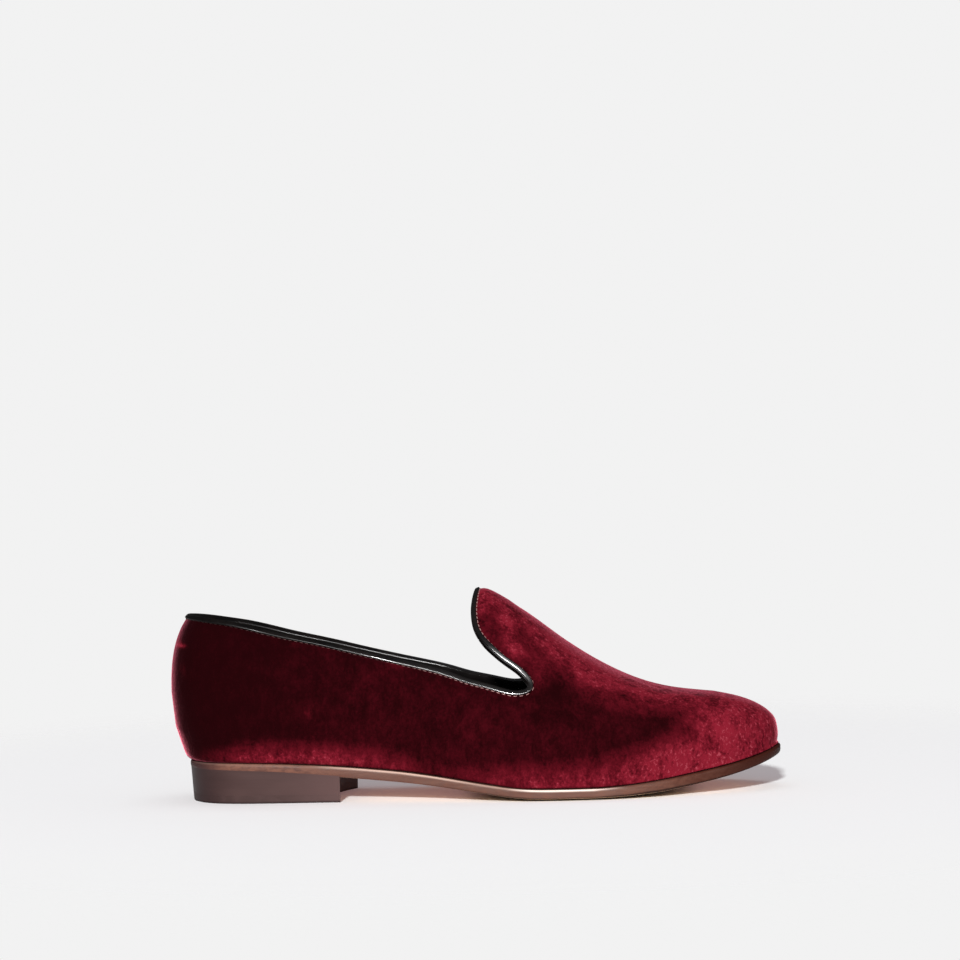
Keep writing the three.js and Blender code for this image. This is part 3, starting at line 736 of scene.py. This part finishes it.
# %% Path of the stitches
RIM_CORNER = math.radians(55)
FACES_OUT = 0.6
LOWEST_RIM = 38 * MM  # above the other loop of sharp edges, under the foot


def outer_rim(bm):
    """The loop of points where the upper's outer wall meets its rim, in order."""
    rim = set()
    for edge in bm.edges:
        if len(edge.link_faces) != 2 or edge.calc_face_angle(0) < RIM_CORNER:
            continue
        middle = (edge.verts[0].co + edge.verts[1].co) / 2
        outward = outward_from_spine(middle).normalized()
        if middle.z > LOWEST_RIM and any(f.normal.dot(outward) > FACES_OUT for f in edge.link_faces):
            rim.add(edge)
    start = max((e.verts[0] for e in rim), key=lambda v: v.co.z)
    ordered, vertex, used = [start], start, set()
    while True:
        step = next((e for e in vertex.link_edges if e in rim and e not in used), None)
        if step is None:
            break
        used.add(step)
        vertex = step.other_vert(vertex)
        if vertex is start:
            break
        ordered.append(vertex)
    return [v.co.copy() for v in ordered]


bm = merged_copy("upper")
bm.normal_update()
rim_points = outer_rim(bm)
bm.free()
print("rim points:", len(rim_points))

# %% [markdown]
# The rim's points are sparse, so we draw a smooth closed curve through them and walk along it in
# steps of one stitch.

# %% Walking along the rim


def smooth_closed(points, per_span=12):
    """Catmull-Rom points through a closed loop."""
    count = len(points)
    out = []
    for i in range(count):
        a, b, c, d = (points[(i + k - 1) % count] for k in range(4))
        for j in range(per_span):
            s = j / per_span
            out.append(0.5 * (2 * b + (c - a) * s + (2 * a - 5 * b + 4 * c - d) * s * s
                              + (3 * b - a - 3 * c + d) * s * s * s))
    return out


def evenly(points, step):
    """Points of a closed line, an even step apart, each with its direction."""
    count = len(points)
    lengths = [(points[(i + 1) % count] - points[i]).length for i in range(count)]
    number = round(sum(lengths) / step)
    step = sum(lengths) / number
    out, i, walked = [], 0, 0.0
    for k in range(number):
        while walked + lengths[i] < k * step:
            walked += lengths[i]
            i += 1
        start, end = points[i], points[(i + 1) % count]
        share = (k * step - walked) / lengths[i]
        out.append((start.lerp(end, share), (end - start).normalized()))
    return out


# %% [markdown]
# Each stitch is a tiny capsule: a sphere whose two halves are pulled apart. There are nearly two
# hundred, so each has only two dozen faces, and all of them are joined in one mesh.

# %% One stitch, and many
STITCH_STEP = 2.3 * MM
STITCH_LENGTH = 1.5 * MM
STITCH_RADIUS = 0.20 * MM
ON_THE_MIDDLE = 1e-7


def capsule(length, radius):
    """A short thread, its length along X."""
    bm = bmesh.new()
    bmesh.ops.create_uvsphere(bm, u_segments=6, v_segments=4, radius=radius)
    bmesh.ops.rotate(bm, verts=bm.verts, matrix=Matrix.Rotation(math.pi / 2, 3, "Y"))
    reach = length / 2 - radius
    for vertex in bm.verts:
        if abs(vertex.co.x) > ON_THE_MIDDLE:
            vertex.co.x += math.copysign(reach, vertex.co.x)
    return bm


def lay_stitches(name, spots):
    """One mesh with a stitch at each spot, given as (place, along, normal)."""
    one = capsule(STITCH_LENGTH, STITCH_RADIUS)
    single = bpy.data.meshes.new("single")
    one.to_mesh(single)
    one.free()
    bm = bmesh.new()
    for place, along, normal in spots:
        across = normal.cross(along).normalized()
        turned = Matrix((along, across, normal)).transposed().to_4x4()
        turned.translation = place
        before = len(bm.verts)
        bm.from_mesh(single)
        bm.verts.ensure_lookup_table()
        bmesh.ops.transform(bm, matrix=turned, verts=bm.verts[before:])
    mesh = bpy.data.meshes.new(name)
    bm.to_mesh(mesh)
    bm.free()
    bpy.data.meshes.remove(single)
    mesh.shade_smooth()
    piece = bpy.data.objects.new(name, mesh)
    bpy.context.collection.objects.link(piece)
    return piece


# %% [markdown]
# At each step along the rim we go down the wall, square to the rim, and look for the nearest point
# of the finished velvet. Which way is down? The rim has a wall on one side only, so of the two ways
# off it we take the one that stays near velvet. The stitch is half sunk in the pile there.

# %% Laying the stitches
BELOW_RIM = 1.32 * MM
LOOK_OUT = 0.3 * MM
LOOK_AHEAD = 3 * MM
ABOVE_PILE = 0.10 * MM
UNEVEN_TURN = 6  # degrees

bm = bmesh.new()
bm.from_mesh(upper.data)
velvet_surface = BVHTree.FromBMesh(bm)
bm.free()


def down_the_wall(place, way):
    def gap(direction):
        trial = place + direction * LOOK_AHEAD
        return (velvet_surface.find_nearest(trial)[0] - trial).length

    return min((way, -way), key=gap)


random.seed(7)
laid = []
for place, along in evenly(smooth_closed(rim_points), STITCH_STEP):
    out = outward_from_spine(place).normalized()
    down = down_the_wall(place, out.cross(along).normalized())
    hit, normal, _, _ = velvet_surface.find_nearest(place + down * BELOW_RIM + out * LOOK_OUT)
    if normal.dot(out) < 0:
        normal = -normal
    along = (along - normal * along.dot(normal)).normalized()
    slant = Quaternion(normal, math.radians(random.uniform(-UNEVEN_TURN, UNEVEN_TURN)))
    laid.append((hit + normal * ABOVE_PILE, slant @ along, normal))
stitches = lay_stitches("topline_stitches", laid)
print("stitches:", len(laid))

# %% Thread
THREAD_ROSE = (0.22, 0.085, 0.085)
THREAD_PALE = (0.44, 0.24, 0.22)
THREAD_DARK = (0.05, 0.012, 0.014)  # darker toward the heel

thread, tree, shader = new_material("rose thread", {"Roughness": 0.7})
twist = add_node(tree, "ShaderNodeTexWave", {"Scale": 900.0, "Distortion": 2.0})
tree.links.new(mapped(tree, (1, 1, 1), (0.5, 0.5, 0)), twist.inputs["Vector"])
colour = mix_colours(tree, twist.outputs["Fac"], THREAD_ROSE, THREAD_PALE)
toward_heel = remap(tree, position(tree)["X"], -0.03, 0.015, 0.85, 0.0)
tree.links.new(mix_colours(tree, toward_heel, colour, THREAD_DARK), shader.inputs["Base Color"])
stitches.data.materials.append(thread)
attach(stitches, "root")
print(thread.name, "has", len(tree.nodes), "nodes")

# %% [markdown]
# ## The outsole
#
# The sole is one slim layer of leather. Its edge was trimmed, dyed and waxed: rosy tan along the
# waist, and darker where the dye went over it toward the toe. The colour runs along the shoe, so we
# take it from the X of the object coordinates.

# %% Colours of the sole's edge
MAUVE_BROWN = (0.052, 0.025, 0.023)
SEAT_ORANGE = (0.160, 0.068, 0.046)
SEAT_BACK_SHADE = (0.044, 0.018, 0.018)
TAN = (0.096, 0.045, 0.035)
ORANGE_BROWN = (0.140, 0.052, 0.031)
RUST = (0.066, 0.018, 0.010)
OXBLOOD = (0.036, 0.0085, 0.005)
PALE_WEAR_AND_HIGHLIGHT = (0.60, 0.42, 0.34)

sole_leather, tree, shader = new_material("waxed sole leather", {"Specular IOR Level": 0.10})
x = position(tree)["X"]
mottle = clouds(tree, mapped(tree, (0.7, 0.7, 1.6)), 420, 0.30, 0.70, 6)
streaks = clouds(tree, mapped(tree, (0.25, 0.25, 3.0)), 220, 0.35, 0.70, 4)
tree.links.new(remap(tree, mottle, 0, 1, 0.40, 0.55), shader.inputs["Roughness"])
add_bump(tree, shader, grain(tree, mapped(tree), 900, 0.5), 0.08 * MM, 0.6)

orange = product(tree, mottle, remap(tree, x, 0.09, 0.15, 0.45, 0.95))
colour = mix_colours(tree, orange, TAN, ORANGE_BROWN)
colour = mix_colours(tree, product(tree, streaks, 0.05), colour, PALE_WEAR_AND_HIGHLIGHT)
seat_dye_and_shade = mix_colours(tree, remap(tree, mottle, -0.4, 0.9), MAUVE_BROWN, SEAT_ORANGE)
# Painted shade: the seat's edge is darker round the back, where it turns away from the lamp.
seat_dye_and_shade = mix_colours(tree, remap(tree, x, -0.030, -0.014, 1, 0), seat_dye_and_shade, SEAT_BACK_SHADE)
colour = mix_colours(tree, remap(tree, x, 0.005, 0.040, 1, 0), colour, seat_dye_and_shade)
rusty = product(tree, remap(tree, x, 0.148, 0.180), remap(tree, mottle, 0.0, 1.0, 0.95, 0.60))
colour = mix_colours(tree, rusty, colour, RUST)
colour = mix_colours(tree, remap(tree, x, 0.165, 0.205), colour, OXBLOOD)

# %% [markdown]
# The top corner is worn pale along the waist and carries a painted highlight, which is nearly white
# under the ball of the foot. From the ball to the toe the bottom corner is darker. The underside
# itself is raw leather: it hardly shows, but it throws a warm light on the floor under the arch.
# These places are noted on the points.

# %% Worn top corner with a painted highlight, and a darker bottom corner
CREAM_HIGHLIGHT = (0.95, 0.84, 0.74)
BOTTOM_DARK = (0.012, 0.005, 0.004)
RAW_DARK = (0.62, 0.36, 0.21)
RAW_LIGHT = (0.74, 0.48, 0.31)

lip = noted(tree, "lip")
waist = product(
    tree,
    remap(tree, x, 0.015, 0.040, 0.10, 1.0),
    remap(tree, x, 0.070, 0.090, 1, 0.6),
    remap(tree, x, 0.132, 0.152, 1, 0),
)
# Pale wear with a painted highlight on the top corner along the waist.
colour = mix_colours(tree, product(tree, lip, waist, 0.95), colour, PALE_WEAR_AND_HIGHLIGHT)
ball = product(tree, remap(tree, x, 0.098, 0.110), remap(tree, x, 0.130, 0.148, 1, 0))
# Painted highlight, nearly white, on the top corner under the ball.
colour = mix_colours(tree, product(tree, lip, ball), colour, CREAM_HIGHLIGHT)
# Darker toward the bottom corner, from the ball of the foot to the toe.
colour = mix_colours(tree, product(tree, noted(tree, "darker_bottom_corner"), 0.85), colour, BOTTOM_DARK)
raw_leather = mix_colours(tree, mottle, RAW_DARK, RAW_LIGHT)
colour = mix_colours(tree, noted(tree, "underside"), colour, raw_leather)
tree.links.new(colour, shader.inputs["Base Color"])
print(sole_leather.name, "has", len(tree.nodes), "nodes")

# %% Outsole


def is_lip(point, normal):
    """1 on the bead that runs round the top of the sole's edge."""
    faces_sideways = smoothstep(Vector(normal[:2]).length, 0.2, 0.5)
    return faces_sideways * (1 - smoothstep(below_sole_top(point), 0.2, 1.1))


def is_bottom(point):
    """1 on the bottom corner, from the ball of the foot to the toe."""
    start = 3.1 + 0.6 * smoothstep(point.x, 150 * MM, 185 * MM)
    toward_toe = smoothstep(point.x, 60 * MM, 105 * MM)
    return toward_toe * smoothstep(below_sole_top(point), start, start + 0.6)


bm = merged_copy("outsole")
keep_sharp(bm, 60)
outsole = smooth_object(bm, "leather_outsole")
mesh = outsole.data
normals = point_normals(mesh)
note_on_points(mesh, "lip", [is_lip(v.co, normal) for v, normal in zip(mesh.vertices, normals)])
note_on_points(mesh, "darker_bottom_corner", [is_bottom(v.co) for v in mesh.vertices])
note_on_points(mesh, "underside", [smoothstep(-normal.z, 0.90, 0.985) for normal in normals])
finish_piece(outsole, "outsole", sole_leather)

# %% [markdown]
# ## The heel
#
# The heel is built up from layers of leather, ground smooth, dyed and waxed, so the layers only show
# as faint level lines. Under it is the top piece that wears on the ground. Both get the same painted
# light in one go: painted shade round the back, where the heel turns away from the lamp, and a
# painted lighter tone toward the front.

# %% Heel leather
HEEL_BACK_SHADE = (0.016, 0.0075, 0.0085)
HEEL_FRONT_LIGHT = (0.092, 0.050, 0.047)
WAX_DARK = (0.048, 0.0245, 0.0225)
WAX_LIGHT = (0.064, 0.034, 0.0315)
LAYER_LINE = (0.030, 0.018, 0.016)


# Painted shade round the back of the heel and painted light toward its front.
def with_painted_side_light(tree, colour):
    x = position(tree)["X"]
    colour = mix_colours(tree, remap(tree, x, -0.036, -0.008, 0.80, 0.0), colour, HEEL_BACK_SHADE)
    return mix_colours(tree, remap(tree, x, 0.000, 0.034, 0.0, 0.75), colour, HEEL_FRONT_LIGHT)


stack_leather, tree, shader = new_material("stacked heel leather", {
    "Roughness": 0.48,
    "Specular IOR Level": 0.14,
})
vector = mapped(tree)
layer_values = {"Scale": 95.0, "Distortion": 0.6, "Detail": 1.0}
layers = add_node(tree, "ShaderNodeTexWave", layer_values, bands_direction="Z")
tree.links.new(vector, layers.inputs["Vector"])
lines = remap(tree, layers.outputs["Fac"], 0.0, 0.12, 1, 0)
wax = clouds(tree, mapped(tree, (0.4, 0.4, 1.6)), 80, 0.3, 0.7, 4)
colour = mix_colours(tree, wax, WAX_DARK, WAX_LIGHT)
colour = mix_colours(tree, product(tree, lines, 0.08), colour, LAYER_LINE)
tree.links.new(with_painted_side_light(tree, colour), shader.inputs["Base Color"])
add_bump(tree, shader, grain(tree, vector, 800, 0.3), 0.04 * MM, 0.3)
print(stack_leather.name, "has", len(tree.nodes), "nodes")

# %% [markdown]
# Between the solids is a gap of about 0.3 mm, which glue would fill. So the heel block is drawn up
# into the heel seat of the sole and down onto its top piece.

# %% Heel block
HALF_WAY_UP = 8 * MM
INTO_SEAT = 1.6 * MM
ONTO_TOP_PIECE = 0.29 * MM

bm = merged_copy("heel")
for vertex in bm.verts:
    vertex.co.z += INTO_SEAT if vertex.co.z > HALF_WAY_UP else -ONTO_TOP_PIECE
keep_sharp(bm, 45)
heel = smooth_object(bm, "stacked_heel")
finish_piece(heel, "heel", stack_leather)

# %% Top piece of the heel
RUBBER_DARK = (0.047, 0.0245, 0.0225)
RUBBER_LIGHT = (0.062, 0.033, 0.031)
GROUND_CONTACT_SHADE = (0.012, 0.006, 0.006)

top_piece_rubber, tree, shader = new_material("top piece rubber", {
    "Roughness": 0.55,
    "Specular IOR Level": 0.14,
})
vector = mapped(tree)
colour = mix_colours(tree, clouds(tree, vector, 150, 0.45, 0.7, 4), RUBBER_DARK, RUBBER_LIGHT)
# Painted contact shade: darker along the bottom edge that stands on the floor.
painted_contact_shade = remap(tree, position(tree)["Z"], 0.3 * MM, 1.2 * MM, 0.7, 0.0)
colour = mix_colours(tree, painted_contact_shade, with_painted_side_light(tree, colour), GROUND_CONTACT_SHADE)
tree.links.new(colour, shader.inputs["Base Color"])
add_bump(tree, shader, grain(tree, vector, 1400, 0.1), 0.05 * MM, 0.5)

bm = merged_copy("heel_top_piece")
keep_sharp(bm, 45)
top_piece = smooth_object(bm, "heel_tread")
finish_piece(top_piece, "heel_top_piece", top_piece_rubber)

# %% [markdown]
# ## The insole
#
# Inside lies a thin sock of soft leather over the footbed.

# %% Insole
SOCK_DARK = (0.017, 0.011, 0.009)
SOCK_LIGHT = (0.034, 0.022, 0.018)

sock_leather, tree, shader = new_material("sock leather", {})
vector = mapped(tree)
patches = clouds(tree, vector, 45, 0.35, 0.7)
tree.links.new(mix_colours(tree, patches, SOCK_DARK, SOCK_LIGHT), shader.inputs["Base Color"])
tree.links.new(remap(tree, patches, 0, 1, 0.42, 0.58), shader.inputs["Roughness"])
add_bump(tree, shader, grain(tree, vector, 1000, 0.5), 0.10 * MM, 0.6)

bm = merged_copy("insole")
keep_sharp(bm, 60, 0.6)
insole = smooth_object(bm, "insole_sock")
finish_piece(insole, "insole", sock_leather)
